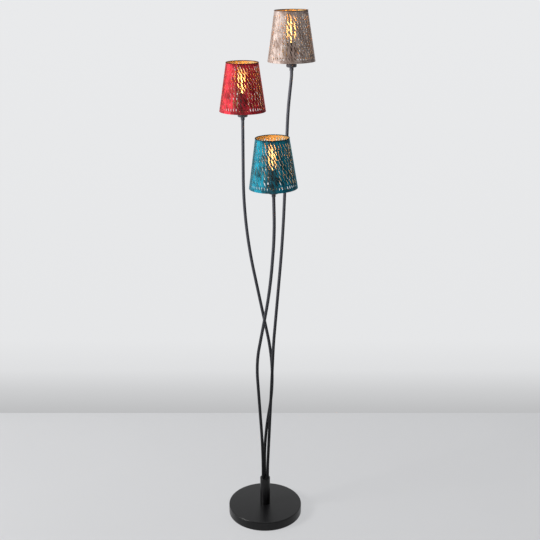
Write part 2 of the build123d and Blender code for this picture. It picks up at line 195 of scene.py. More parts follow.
def velvet(name, deep, bright, tint, shadow):
    look = Finish(name)
    cloth = look.coords("UV")
    around = look.part(cloth, "X") / (clothWave["radius"] * mm)
    wave = look.math("COSINE", around * clothWave["lobes"] + clothWaveStart)
    patches = look.noise(cloth, velvetPile["patches"], 3)
    pile = look.noise(look.slanted(*velvetPile["pileLine"]), velvetPile["pile"], 2, 0.7)
    crushed = look.noise(look.slanted(*velvetPile["crushLine"]), velvetPile["crush"], 4, 0.65)
    # the wave paints shade in bands at set angles round the shade; patches, crush and pile are random tone
    tone = patches * 0.45 + crushed * 0.4 + pile * 0.15 - wave * clothWave["tone"]
    colour = look.ramp(tone, (0.42, deep), (0.50, mixed(deep, bright, 0.5)), (0.58, bright))
    shadeAndPatches = wave * clothWave["bandShade"] + (patches - 0.5) * clothWave["patchiness"]
    shadeShare = look.math("MAXIMUM", shadeAndPatches, 0.0) * 0.8
    colour = look.between(shadeShare, colour, shadow)
    rough = look.spread(crushed, 0.62, 0.98)
    return look.surface(
        baseColor=colour, roughness=rough, specular=0.2, sheenWeight=0.55, sheenRoughness=0.34,
        sheenTint=opaque(tint), normal=look.bump(crushed * 0.6 + pile * 0.4, 0.35, 0.0006),
    )


# Lining: gold foil with a painted glow of the bulb's light, brightest beside the bulb (height in metres, the
# rest as shares)
liningGlow = {"height": 0.15, "brightestAt": 0.62, "fall": 1.35, "least": 0.12, "strength": 0.065}


def goldLining(name):
    look = Finish(name)
    foil = look.coords("UV")
    crinkle = look.noise(foil, 320, 4, 0.6)
    cloud = look.noise(foil, 24, 2)
    height = look.part(foil, "Y") / liningGlow["height"]
    glow = 1 - look.math("ABSOLUTE", height - liningGlow["brightestAt"]) * liningGlow["fall"]
    glow = glow * look.spread(cloud, 0.7, 1.2)
    glow = look.node("ShaderNodeClamp", values={"Value": glow, "Min": liningGlow["least"], "Max": 1.0})
    colour = look.between(crinkle, (0.60, 0.37, 0.13), (0.92, 0.68, 0.33))
    light = look.ramp(
        glow, (0.1, (0.09, 0.036, 0.006)), (0.5, (0.40, 0.20, 0.040)), (1.0, (1.0, 0.60, 0.16)))
    return look.surface(
        baseColor=colour, metallic=0.85, roughness=look.spread(crinkle, 0.28, 0.55), emissionColor=light,
        emissionStrength=liningGlow["strength"], normal=look.bump(crinkle, 0.3, 0.0005),
    )


def cutEdge(name, cloth):  # the thickness of the wall in a slit: frayed cloth and foil
    look = Finish(name)
    fray = look.noise(look.coords(), 900, 3)
    colour = look.between(fray, mixed(cloth, (0, 0, 0), 0.35), mixed(cloth, (0.6, 0.4, 0.16), 0.3))
    return look.surface(
        baseColor=colour, metallic=look.spread(fray, 0.0, 0.25), roughness=look.spread(fray, 0.5, 0.9),
        normal=look.bump(fray, 0.4, 0.0003),
    )


stemPaintedLight = {"height": 1.5, "power": 1.6}  # painted light: the stems are painted lighter from the floor up, over a height in metres


def powderCoat(name, low, high, rough, gloss, rise=1.0):  # rise is how many times lighter the top is painted, as painted light
    look = Finish(name)
    place = look.coords()
    peel = look.noise(place, 1500, 2, 0.5)
    wear = look.noise(place, 14, 4, 0.6)
    colour = look.between(look.spread(wear, 0.1, 0.7) + look.spread(peel, 0.0, 0.2), low, high)
    # painted light: the top of the coat is made lighter by the rise
    if rise > 1:
        up = look.part(place, "Z") / stemPaintedLight["height"]
        colour = look.between(
            look.math("POWER", up, stemPaintedLight["power"]), colour, tuple(c * rise for c in high))
    return look.surface(
        baseColor=colour, roughness=look.spread(wear * 0.6 + peel * 0.4, rough - 0.08, rough + 0.1),
        specular=gloss, normal=look.bump(peel, 0.18, 0.0002),
    )


def moulded(name, low, high, rough):
    look = Finish(name)
    place = look.coords()
    flow = look.noise(place, 60, 3)
    grain = look.noise(place, 2600, 1)
    return look.surface(
        baseColor=look.between(flow, low, high), roughness=look.spread(flow, rough - 0.07, rough + 0.07),
        normal=look.bump(grain, 0.12, 0.0001),
    )


def metal(name, low, high, rough, stretch=(1, 1, 6)):
    look = Finish(name)
    brushed = look.noise(look.coords("Object", stretch), 500, 3, 0.6)
    tarnish = look.noise(look.coords(), 40, 4, 0.6)
    return look.surface(
        baseColor=look.between(tarnish * 0.6 + brushed * 0.4, low, high), metallic=1.0,
        roughness=look.spread(tarnish * 0.5 + brushed * 0.5, rough - 0.12, rough + 0.14),
        normal=look.bump(brushed, 0.12, 0.0001),
    )


def castIron(name):
    look = Finish(name)
    sand = look.noise(look.coords(), 700, 5, 0.7)
    rust = look.noise(look.coords(), 22, 4, 0.6)
    return look.surface(
        baseColor=look.between(rust, (0.10, 0.10, 0.10), (0.24, 0.21, 0.19)), metallic=0.4,
        roughness=look.spread(sand, 0.6, 0.95), normal=look.bump(sand, 0.6, 0.0006),
    )


def foam(name):
    look = Finish(name)
    cells = look.node(
        "ShaderNodeTexVoronoi", values={"Vector": look.coords(), "Scale": 900}, output="Distance")
    return look.surface(
        baseColor=look.between(cells, (0.012, 0.012, 0.012), (0.06, 0.06, 0.06)),
        roughness=look.spread(cells, 0.8, 1.0), normal=look.bump(cells, 0.5, 0.0006),
    )


def bulbGlass(name):  # clear glass that carries the filaments' glow, brightest beside them
    look = Finish(name)
    place = look.coords("UV")
    swirl = look.noise(place, 30, 2)
    glow = look.ramp(
        look.part(place, "Y"), (0.0, (0.10, 0.02, 0.002)), (0.25, (0.9, 0.42, 0.08)),
        (0.45, (1.0, 0.66, 0.24)), (0.62, (0.8, 0.34, 0.06)), (0.8, (1.0, 0.46, 0.10)),
        (1.0, (0.9, 0.26, 0.03)))
    return look.surface(
        baseColor=(1.0, 0.86, 0.62, 1), roughness=look.spread(swirl, 0.03, 0.1),
        alpha=look.spread(swirl, 0.26, 0.4), emissionColor=glow, emissionStrength=0.36,
    )


def glowing(name, low, high, strength):
    look = Finish(name)
    flicker = look.noise(look.coords(), 200, 2)
    return look.surface(
        baseColor=(1.0, 0.8, 0.5, 1), roughness=look.spread(flicker, 0.4, 0.6),
        emissionColor=look.between(flicker, low, high), emissionStrength=strength,
    )


# each cloth's shadow is the colour of the painted shade in its bands
cloths = {
    "red": {
        "deep": (0.17, 0.004, 0.009), "bright": (0.82, 0.044, 0.068), "tint": (1.0, 0.30, 0.33),
        "shadow": (0.030, 0.008, 0.006),
    },
    "taupe": {
        "deep": (0.25, 0.165, 0.135), "bright": (0.67, 0.55, 0.50), "tint": (1.0, 0.93, 0.95),
        "shadow": (0.11, 0.065, 0.045),
    },
    "teal": {
        "deep": (0.004, 0.032, 0.044), "bright": (0.010, 0.30, 0.43), "tint": (0.25, 0.8, 1.0),
        "shadow": (0.018, 0.013, 0.010),
    },
}
rimBlack = (0.012, 0.008, 0.007)
finishes = {
    "lining": goldLining("goldLining"),
    "base": powderCoat("satinBlackBase", (0.0022, 0.0022, 0.0026), (0.0072, 0.0072, 0.0080), 0.31, 0.30),
    "stem": powderCoat("graphiteStem", (0.0018, 0.0019, 0.0023), (0.0062, 0.0064, 0.0075), 0.42, 0.13, 20.0),
    # the holder caps' satin coat is partly its own dark grey and partly painted light, lighter than the other
    # black parts against the shade under the shades
    "cap": powderCoat("satinCap", (0.050, 0.052, 0.062), (0.12, 0.125, 0.15), 0.34, 0.5),
    "blackPlastic": moulded("blackPlastic", (0.018, 0.018, 0.019), (0.036, 0.036, 0.038), 0.4),
    "whitePlastic": moulded("porcelainWhite", (0.66, 0.63, 0.58), (0.80, 0.78, 0.74), 0.35),
    "zinc": metal("zincSteel", (0.46, 0.46, 0.45), (0.66, 0.66, 0.64), 0.38),
    "brass": metal("brass", (0.62, 0.42, 0.16), (0.86, 0.66, 0.32), 0.3),
    "goldWire": metal("goldWire", (0.55, 0.36, 0.12), (0.85, 0.62, 0.26), 0.4, (1, 1, 1)),
    "cast": castIron("castWeight"),
    "foam": foam("foamPad"),
    "glass": bulbGlass("bulbGlass"),
    "filament": glowing("litFilament", (1.0, 0.50, 0.13), (1.0, 0.74, 0.34), 5.0),
    "mount": moulded("glassMount", (0.70, 0.62, 0.5), (0.85, 0.78, 0.66), 0.2),
}
for name, cloth in cloths.items():
    finishes[name] = velvet(name + "Velvet", **cloth)
    finishes[name + "Edge"] = cutEdge(name + "CutEdge", cloth["bright"])
    dark = mixed(rimBlack, cloth["deep"], 0.15)
    finishes[name + "Rim"] = powderCoat(name + "RimWire", dark, mixed(dark, cloth["deep"], 0.5), 0.65, 0.15)
print("finishes made:", len(finishes))


def filleted(corners, steps=4):  # a third number at a corner is its fillet
    outline = []
    for index, corner in enumerate(corners):
        if len(corner) == 2:
            outline.append(corner)
            continue
        here = Vector(corner[:2])
        before = (Vector(corners[index - 1][:2]) - here).normalized()
        after = (Vector(corners[(index + 1) % len(corners)][:2]) - here).normalized()
        half = before.angle(after) / 2
        reach = corner[2] / math.tan(half)
        middle = here + (before + after).normalized() * (corner[2] / math.sin(half))
        start, end = here + before * reach - middle, here + after * reach - middle
        turn = start.angle_signed(end)
        for step in range(steps + 1):
            around = -turn * step / steps
            point = middle + Matrix.Rotation(around, 2) @ start
            outline.append((point.x, point.y))
    return outline


def evenTurns(count):  # angles of even steps round a circle
    return [2 * math.pi * step / count for step in range(count)]


def lathe(shape, corners, sides=96, steps=4, material=0):  # a closed outline of radius and height, in mm
    outline = filleted(corners, steps)
    rings = []
    for radius, height in outline:
        if radius < 1e-6:
            rings.append([shape.verts.new((0, 0, height * mm))] * sides)
            continue
        rings.append([
            shape.verts.new((radius * mm * math.cos(t), radius * mm * math.sin(t), height * mm))
            for t in evenTurns(sides)])
    for low, high in zip(rings, rings[1:] + rings[:1]):
        if low[0] is low[1] and high[0] is high[1]:
            continue
        for side in range(sides):
            after = (side + 1) % sides
            around = [low[side], low[after], high[after], high[side]]
            face = shape.faces.new([v for n, v in enumerate(around) if v not in around[:n]])
            face.material_index = material
    return shape


def bead(shape, radius, height, thickness, sides, facets=12):  # a ring of round wire
    corners = [
        (radius + thickness * math.cos(t), height + thickness * math.sin(t)) for t in evenTurns(facets)]
    return lathe(shape, corners, sides)


def sweep(shape, points, radius, sides):  # a round bar along points in metres, closed at its ends
    aheads = [
        (after - before).normalized() for before, after in zip(points[:1] + points, points[1:] + points[-1:])]
    side = aheads[0].orthogonal().normalized()
    rings = []
    for point, ahead in zip(points, aheads):
        side = (side - ahead * side.dot(ahead)).normalized()
        across = ahead.cross(side)
        rings.append([
            shape.verts.new(point + (side * math.cos(t) + across * math.sin(t)) * radius)
            for t in evenTurns(sides)])
    for low, high in zip(rings, rings[1:]):
        for n in range(sides):
            shape.faces.new((low[n], low[(n + 1) % sides], high[(n + 1) % sides], high[n]))
    shape.faces.new(rings[0][::-1])
    shape.faces.new(rings[-1])
    return shape


def asMesh(shape, name, hollow=()):  # closed shapes with their faces outwards, apart from a hollow's
    bmesh.ops.recalc_face_normals(shape, faces=shape.faces)
    if hollow:
        bmesh.ops.reverse_faces(shape, faces=hollow)
    data = bpy.data.meshes.new(name)
    shape.to_mesh(data)
    shape.free()
    return data


def added(name, data):
    made = bpy.data.objects.new(name, data)
    bpy.context.collection.objects.link(made)
    return made


def ready(shape, name, body, looks, nodes=(), place=None, crease=32):  # a finished piece on its body
    data = asMesh(shape, name) if isinstance(shape, bmesh.types.BMesh) else shape
    if place is not None:
        data.transform(place)
    data.shade_smooth()
    data.set_sharp_from_angle(angle=math.radians(crease))
    data.materials.clear()
    for look in looks:
        data.materials.append(finishes[look])
    piece = added(name, data)
    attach(piece, body)
    if nodes:
        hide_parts(*nodes)
    return piece


def unrolled(data, radius, foot=0.0, height=None):  # UV round and up, in metres, or up as a share of height
    layer = data.uv_layers.new(name="surface")
    for face in data.polygons:
        middle = math.atan2(face.center.y, face.center.x)
        for loop in face.loop_indices:
            point = data.vertices[data.loops[loop].vertex_index].co
            turn = math.atan2(point.y, point.x) - middle if point.xy.length > 1e-5 else 0.0
            turn = (turn + math.pi) % (2 * math.pi) - math.pi + middle
            up = point.z - foot * mm
            layer.data[loop].uv = (turn * radius * mm, up / (height * mm) if height else up)


# Base and hub, in mm
base = {
    "radius": 125, "foot": 2, "top": 33, "wall": 1.5, "edge": 3, "lip": 0.4, "lipRise": 0.5, "lipRound": 0.3,
    "sides": 192,
}
r, foot, top, wall, lip = (base[key] for key in ("radius", "foot", "top", "wall", "lip"))
shape = lathe(bmesh.new(), [
    (r - wall, foot + lip), (r - lip, foot, base["lipRound"]), (r, foot + base["lipRise"], base["lipRound"]),
    (r, top, base["edge"]), (0, top), (0, top - wall), (r - wall, top - wall, base["edge"] - wall),
], base["sides"], 6)
ready(shape, "baseCover", "stand", ["base"], ["base_cover"])

hub = {
    "radius": 17, "wall": 1.5, "foot": 33, "footEdge": 0.3, "seam": 131, "seamHalf": 0.15, "seamDepth": 0.35,
    "seamRound": 0.12, "plugRadius": 15.4, "plugDepth": 8, "top": 133, "edge": 0.9,
}
r, low, seam, wall, plug = (hub[key] for key in ("radius", "foot", "seam", "wall", "plugRadius"))
shape = lathe(bmesh.new(), [
    (r - wall, low), (r - hub["footEdge"], low), (r, low + hub["footEdge"]),
    (r, seam - hub["seamHalf"], hub["seamRound"]), (r - hub["seamDepth"], seam), (r - wall, seam),
])
lathe(shape, [
    (0, seam - hub["plugDepth"]), (plug, seam - hub["plugDepth"]), (plug, seam),
    (r, seam + hub["seamHalf"], hub["seamRound"]), (r, hub["top"], hub["edge"]), (0, hub["top"]),
], steps=5)
ready(shape, "hubTube", "stand", ["base"], ["hub_tube", "hub_cap"])

bush = {
    "height": 9.2, "seat": 125.0, "bore": 3.25, "neck": 4.5, "flange": 6.0, "face": 1.5, "length": 18.0,
    "groove": 1.7, "barb": 1.75, "barbInset": 0.4, "barbEnd": 3.7, "rounds": (0.5, 0.6, 0.2), "sides": 48,
}
bore, neck, flange, face = (bush[key] for key in ("bore", "neck", "flange", "face"))
mouthRound, faceRound, backRound = bush["rounds"]
shape = lathe(bmesh.new(), [
    (bore, face, mouthRound), (flange, face, faceRound), (flange, 0, backRound), (neck, 0),
    (neck, -bush["groove"]), (flange - bush["barbInset"], -bush["barb"]), (neck, -bush["barbEnd"]),
    (neck, face - bush["length"]), (bore, face - bush["length"]),
], bush["sides"])
inlet = Matrix.Translation((0, bush["seat"] * mm, bush["height"] * mm))
inlet = inlet @ Matrix.Rotation(-math.pi / 2, 4, "X")  # its flange faces the rear
ready(shape, "cableBush", "stand", ["blackPlastic"], ["cable_bush"], inlet)
print("base and hub made")

# Stems, in mm: one bar for each light, bent in tangent arcs
stemSize = {
    "radius": 5.0, "seat": 50, "hubCircle": 9.05, "top": -10.3, "step": 7.0, "sides": 28,
    "seal": 0.5, "sealGap": 0.1, "sealSides": 40, "sealFacets": 8,
}


def stemRoute(lamp):  # corners and bend radii
    turn = math.radians(lamp["hubAngle"])
    x, y = stemSize["hubCircle"] * math.cos(turn), stemSize["hubCircle"] * math.sin(turn)
    corners = [Vector((x, y, stemSize["seat"])), Vector((x, y, lamp["straight"]))]
    radii = [lamp["firstBend"]]
    for *corner, radius in lamp["bends"]:
        corners.append(Vector(corner))
        radii.append(radius)
    inward = lampFrame(lamp)
    if lamp["topRun"]:
        corners.append(inward @ Vector((0, 0, -lamp["topRun"] * mm)) / mm)
        radii.append(lamp["topBend"])
    corners.append(inward @ Vector((0, 0, stemSize["top"] * mm)) / mm)
    return corners, radii


def bent(corners, radii, step):  # points along the bar, in metres
    points = [corners[0]]
    for before, here, after, radius in zip(corners, corners[1:], corners[2:], radii):
        back, ahead = (before - here).normalized(), (after - here).normalized()
        turn = math.pi - back.angle(ahead)
        start = here + back * (radius * math.tan(turn / 2))
        centre = here + (back + ahead).normalized() * (radius / math.cos(turn / 2))
        axis = (-back).cross(ahead).normalized()
        count = max(3, int(radius * turn / step))
        for index in range(count + 1):
            points.append(centre + Matrix.Rotation(turn * index / count, 3, axis) @ (start - centre))
    points.append(corners[-1])
    full = [points[0]]
    for point in points[1:]:  # the straight runs are cut into shorter ones too
        run = point - full[-1]
        pieces = max(1, int(run.length / (step * 3)))
        full += [full[-1] + run * (n + 1) / pieces for n in range(pieces)]
    return [p * mm for p in full]


for name, lamp in lamps.items():
    corners, radii = stemRoute(lamp)
    shape = sweep(
        bmesh.new(), bent(corners, radii, stemSize["step"]), stemSize["radius"] * mm, stemSize["sides"])
    ready(shape, name + "Stem", "stand", ["stem"], [name + "_stem"])
    shape = bead(
        bmesh.new(), stemSize["radius"] + stemSize["sealGap"], hub["top"] + stemSize["sealGap"],
        stemSize["seal"], stemSize["sealSides"], stemSize["sealFacets"])
    seat = Matrix.Translation((corners[0].x * mm, corners[0].y * mm, 0))
    ready(shape, name + "StemSeal", "stand", ["base"], place=seat)
print("stems made")

# Lampholders, in mm from the middle of the shade's foot: collar, cap, sleeve and shade ring
collar = {
    "bore": 5.05, "radius": 6.3, "foot": -27.5, "rim": 2, "footStep": 0.2, "topStep": 0.6, "taper": 1.2,
    "rounds": (0.7, 0.4, 0.4), "sides": 48,
}
cap = {
    "radius": 16, "inner": 14.05, "foot": -17.5, "top": -0.3, "edge": 4.0, "floor": 2.2,
    "groove": 0.35, "grooveSpan": (2.2, 1.9, 1.6, 1.3), "grooveRound": 0.2, "topRound": 0.5,
}
sleeve = {
    "radius": 14, "inner": 12.2, "foot": -15.3, "top": 56, "topRound": 1.2, "mouth": 8.6, "mouthRound": 0.6,
    "lip": 2, "threads": 7, "threadPitch": 2.2, "threadFoot": 10, "runOut": 0.6, "crest": 0.02, "root": 0.45,
    "crestFrom": 0.7, "crestTo": 1.2, "rootFrom": 1.9,
}
ringSize = {
    "inner": 14.05, "outer": 18.1, "foot": 2.3, "top": 8.3, "flange": 0.3, "flangeTop": 0.8, "step": 0.9,
    "rounds": (0.4, 0.6, 0.3), "ribs": 36, "ribWidth": 1.5, "ribDepth": 0.85,
}
holderSides = 72
ribInputs = {
    "Ribs": ringSize["ribs"], "Radius": ringSize["outer"] * mm,
    "Foot": (ringSize["foot"] + ringSize["flangeTop"]) * mm,
    "Height": (ringSize["top"] - ringSize["foot"] - 2 * ringSize["flangeTop"]) * mm,
    "Rib Width": ringSize["ribWidth"] * mm, "Rib Depth": ringSize["ribDepth"] * mm,
}


def newTree(name, inputs):  # a geometry tree and a wire from each of its inputs
    tree = bpy.data.node_groups.new(name, "GeometryNodeTree")
    tree.interface.new_socket("Geometry", in_out="INPUT", socket_type="NodeSocketGeometry")
    tree.interface.new_socket("Geometry", in_out="OUTPUT", socket_type="NodeSocketGeometry")
    for key, value in inputs.items():
        kind = "NodeSocketMaterial" if isinstance(value, bpy.types.Material) else (
            "NodeSocketInt" if isinstance(value, int) else "NodeSocketFloat")
        tree.interface.new_socket(key, in_out="INPUT", socket_type=kind)
    graph = Graph(tree)
    start = graph.node("NodeGroupInput").socket.node
    return graph, {socket.name: Wire(graph, socket) for socket in start.outputs if socket.name}


def grown(shape, tree, inputs, name):  # the mesh that a tree makes of a shape
    carrier = added(name, asMesh(shape, name))
    modifier = carrier.modifiers.new("tree", "NODES")
    modifier.node_group = tree
    sockets = {item.name: item.identifier for item in tree.interface.items_tree if item.in_out == "INPUT"}
    for key, value in inputs.items():
        modifier[sockets[key]] = value
    bpy.context.view_layer.update()
    result = bpy.data.meshes.new_from_object(carrier.evaluated_get(bpy.context.evaluated_depsgraph_get()))
    carrier.modifiers.remove(modifier)
    bpy.data.objects.remove(carrier)
    return result


def ribTree():  # upright half-round grips round a ring
    graph, given = newTree("gripRibs", {**ribInputs, "Finish": finishes["blackPlastic"]})
    points = graph.node("GeometryNodePoints", values={"Count": given["Ribs"]})
    turn = graph.node("GeometryNodeInputIndex") / given["Ribs"] * (2 * math.pi)
    place = graph.vector(
        given["Radius"] * graph.math("COSINE", turn), given["Radius"] * graph.math("SINE", turn),
        given["Foot"] + given["Height"] / 2)
    placed = graph.node("GeometryNodeSetPosition", values={"Geometry": points, "Position": place})
    rod = {"Vertices": 10, "Radius": 0.5, "Depth": 1.0}
    ribs = graph.node("GeometryNodeInstanceOnPoints", values={
        "Points": placed, "Instance": graph.node("GeometryNodeMeshCylinder", values=rod, output="Mesh"),
        "Rotation": graph.vector(z=turn),
        "Scale": graph.vector(given["Rib Depth"], given["Rib Width"], given["Height"])})
    joined = graph.node("GeometryNodeJoinGeometry", values={0: [given["Geometry"], ribs]})
    real = graph.node("GeometryNodeRealizeInstances", values={"Geometry": joined})
    done = graph.node("GeometryNodeSetMaterial", values={"Geometry": real, "Material": given["Finish"]})
    graph.node("NodeGroupOutput", values={"Geometry": done})
    return graph.tree


gripRibs = ribTree()
for name, lamp in lamps.items():
    seat = lampFrame(lamp)

    bore, r, low, high = collar["bore"], collar["radius"], collar["foot"], cap["foot"]
    footRound, rimRound, topRound = collar["rounds"]
    shape = lathe(bmesh.new(), [
        (bore, low), (r - collar["footStep"], low, footRound), (r, low + collar["rim"], rimRound),
        (r, high - collar["taper"], topRound), (r - collar["topStep"], high), (bore, high),
    ], collar["sides"])
    ready(shape, name + "StemCollar", "stand", ["stem"], [name + "_stem_collar"], seat)

    r, low, high, floor = cap["radius"], cap["foot"], cap["top"], cap["foot"] + cap["floor"]
    grooveFoot, grooveLow, grooveHigh, grooveTop = (high - depth for depth in cap["grooveSpan"])
    shape = lathe(bmesh.new(), [
        (bore, low), (r, low, cap["edge"]), (r, grooveFoot, cap["grooveRound"]),
        (r - cap["groove"], grooveLow), (r - cap["groove"], grooveHigh), (r, grooveTop, cap["grooveRound"]),
        (r, high, cap["topRound"]), (cap["inner"], high), (cap["inner"], floor), (bore, floor),
    ], holderSides, 6)
    ready(shape, name + "HolderCap", "stand", ["cap"], [name + "_holder_cap"], seat)

    inner, foot, top, under = sleeve["inner"], sleeve["foot"], sleeve["top"], sleeve["top"] - sleeve["lip"]
    crest, root = sleeve["radius"] - sleeve["crest"], sleeve["radius"] - sleeve["root"]
    threads = []
    for thread in range(sleeve["threads"]):
        low = sleeve["threadFoot"] + thread * sleeve["threadPitch"]
        threads += [
            (root, low), (crest, low + sleeve["crestFrom"]), (crest, low + sleeve["crestTo"]),
            (root, low + sleeve["rootFrom"])]
    shape = lathe(bmesh.new(), [
        (inner, foot), (crest, foot), (crest, sleeve["threadFoot"] - sleeve["runOut"]), *threads,
        (root, threads[-1][1] + sleeve["runOut"]), (root, top, sleeve["topRound"]),
        (sleeve["mouth"], top, sleeve["mouthRound"]), (sleeve["mouth"], under), (inner, under),
    ], holderSides)
    ready(
        shape, name + "HolderSleeve", "stand", ["blackPlastic"],
        [name + "_holder_sleeve"], seat)

    inner, r, low, high = (ringSize[key] for key in ("inner", "outer", "foot", "top"))
    flangeRound, outerRound, innerRound = ringSize["rounds"]
    shape = lathe(bmesh.new(), [
        (inner, low), (r + ringSize["flange"], low, flangeRound),
        (r + ringSize["flange"], low + ringSize["flangeTop"]), (r, low + ringSize["step"]),
        (r, high, outerRound), (inner, high, innerRound),
    ], holderSides)
    ring = grown(shape, gripRibs, {**ribInputs, "Finish": finishes["blackPlastic"]}, name + "RingBlank")
    ready(ring, name + "ShadeRing", "stand", ["blackPlastic"], [name + "_shade_ring"], seat)
print("lampholders made")

# Shades, in mm from the middle of the foot
shade = {
    "foot": 72.5, "top": 50.0, "height": 150.0, "wall": 0.8, "hem": 0.75, "hemRise": 0.02, "rim": 1.2,
    "rimInset": 0.15, "cutDepth": 2.5, "sides": 180, "seedStep": 20,
}
slits = {  # in metres and radians, then shares of a slit's place, slant, length and width
    "Rows": 9, "Slits Per Row": 36, "Bottom Slits": 50, "Bottom Band": 6.0 * mm, "Top Band": 11.0 * mm,
    "Slit Length": 22.0 * mm, "Slit Width": 3.5 * mm, "Slant": math.radians(19), "Seed": 3,
    "Lobes": clothWave["lobes"], "Lobe Start": clothWaveStart,
    "Scatter": 0.12, "Lift": 0.2, "Slant Scatter": 0.25, "Bottom Slant": 0.6, "Zigzag": 0.4,
    "Length Scatter": 0.2, "Bottom Length": 0.5,
    "Mean Width": 0.74, "Lobe Width": 0.36, "Width Scatter": 0.14,
}
squarely = 0.8  # how squarely a face looks out to be cloth, or in to be lining
carrierSize = {
    "ring": 70.3, "wire": 1.0, "ringSides": 144, "bore": 14.5, "washer": 20.0, "washerFoot": 0.2,
    "washerTop": 1.8, "washerRound": 0.4, "spokes": 3, "firstSpoke": 90, "spokeWire": 0.95,
    "spokeStart": 2.2, "spokePoints": (30, 50), "spokeSides": 12,
}


def slitTree():  # leaf-shaped slits cut through a conical wall, in staggered rows
    looks = {"Cloth": finishes["red"], "Lining": finishes["lining"], "Edge": finishes["redEdge"]}
    sizes = {"Foot Radius": 1.0, "Top Radius": 1.0, "Height": 1.0, "Cut Depth": 1.0}
    graph, given = newTree("piercedShade", {**slits, **sizes, **looks})

    def scattered(offset):  # from -1 to 1, another number for each slit
        return graph.node("FunctionNodeRandomValue", {"data_type": "FLOAT"}, {
            "Min_001": -1.0, "Max_001": 1.0, "ID": index, "Seed": given["Seed"] + offset}, "Value_001")

    index = graph.node("GeometryNodeInputIndex")
    bottomRow = graph.math("LESS_THAN", index, given["Bottom Slits"] - 0.5)
    inner = 1 - bottomRow
    above = index - given["Bottom Slits"]
    row = (graph.math("FLOOR", above / given["Slits Per Row"]) + 1) * inner
    column = index * bottomRow + graph.math("MODULO", above, given["Slits Per Row"]) * inner
    perRow = given["Bottom Slits"] * bottomRow + given["Slits Per Row"] * inner

    scatter = given["Scatter"] * (inner * 0.9 + 0.1)  # the bottom row is almost even
    band = (given["Height"] - given["Bottom Band"] - given["Top Band"]) / given["Rows"]
    height = given["Bottom Band"] + band * (row + 0.5 + scattered(1) * given["Lift"] * inner)
    narrowing = given["Foot Radius"] - given["Top Radius"]
    radius = given["Foot Radius"] - narrowing * height / given["Height"]
    spiral = graph.math("LOGARITHM", given["Foot Radius"] / radius, math.e) * given["Height"] / narrowing
    step = (column + row * 0.5 + scattered(0) * scatter) / perRow
    turn = step * (2 * math.pi) - spiral * graph.math("TANGENT", given["Slant"])  # rows follow the slant
    place = graph.vector(radius * graph.math("COSINE", turn), radius * graph.math("SINE", turn), height)
    total = given["Bottom Slits"] + (given["Rows"] - 1) * given["Slits Per Row"]
    points = graph.node("GeometryNodePoints", values={"Count": total})
    placed = graph.node("GeometryNodeSetPosition", values={"Geometry": points, "Position": place})

    taper = graph.math("ARCTAN2", given["Top Radius"] - given["Foot Radius"], given["Height"])
    zigzag = graph.math("MODULO", column, 2) * 2 - 1
    slant = given["Slant"] * (
        inner * (1 + scattered(2) * given["Slant Scatter"])
        + bottomRow * (zigzag * given["Zigzag"] + given["Bottom Slant"]))
    longer = given["Slit Length"] * (
        inner * (1 + scattered(3) * given["Length Scatter"]) + bottomRow * given["Bottom Length"])
    wave = graph.math("COSINE", turn * given["Lobes"] + given["Lobe Start"])
    wider = given["Slit Width"] * (
        given["Mean Width"] + wave * inner * given["Lobe Width"] + scattered(4) * given["Width Scatter"])

    rod = graph.node(
        "GeometryNodeMeshCylinder", values={"Vertices": 14, "Radius": 0.5, "Depth": 2.0}, output="Mesh")
    spot = graph.node("GeometryNodeInputPosition")
    x, y, z = (graph.part(spot, axis) for axis in "XYZ")
    leafSpot = graph.vector(z * -1.0, y * graph.math("ABSOLUTE", y) * 2, x)  # laid down and pointed
    leaf = graph.node("GeometryNodeSetPosition", values={"Geometry": rod, "Position": leafSpot})
    cutters = graph.node("GeometryNodeInstanceOnPoints", values={
        "Points": placed, "Instance": leaf, "Rotation": graph.vector(slant, taper, turn),
        "Scale": graph.vector(given["Cut Depth"], wider, longer)})
    cut = graph.node(
        "GeometryNodeMeshBoolean", {"operation": "DIFFERENCE", "solver": "MANIFOLD"},
        {"Mesh 1": given["Geometry"], "Mesh 2": cutters}, "Mesh")
    real = graph.node("GeometryNodeRealizeInstances", values={"Geometry": cut})

    flat = graph.node("ShaderNodeVectorMath", {"operation": "MULTIPLY"}, {0: spot, 1: (1, 1, 0)})
    outward = graph.node("ShaderNodeVectorMath", {"operation": "NORMALIZE"}, {0: flat})
    facing = graph.node(
        "ShaderNodeVectorMath", {"operation": "DOT_PRODUCT"},
        {0: graph.node("GeometryNodeInputNormal"), 1: outward}, "Value")
    outside = graph.math("GREATER_THAN", facing, squarely)
    inside = graph.math("LESS_THAN", facing, -squarely)
    whole = graph.node("GeometryNodeSetMaterial", values={"Geometry": real, "Material": given["Edge"]})
    clad = graph.node("GeometryNodeSetMaterial", values={
        "Geometry": whole, "Material": given["Cloth"], "Selection": outside})
    lined = graph.node("GeometryNodeSetMaterial", values={
        "Geometry": clad, "Material": given["Lining"], "Selection": inside})
    graph.node("NodeGroupOutput", values={"Geometry": lined})
    return graph.tree


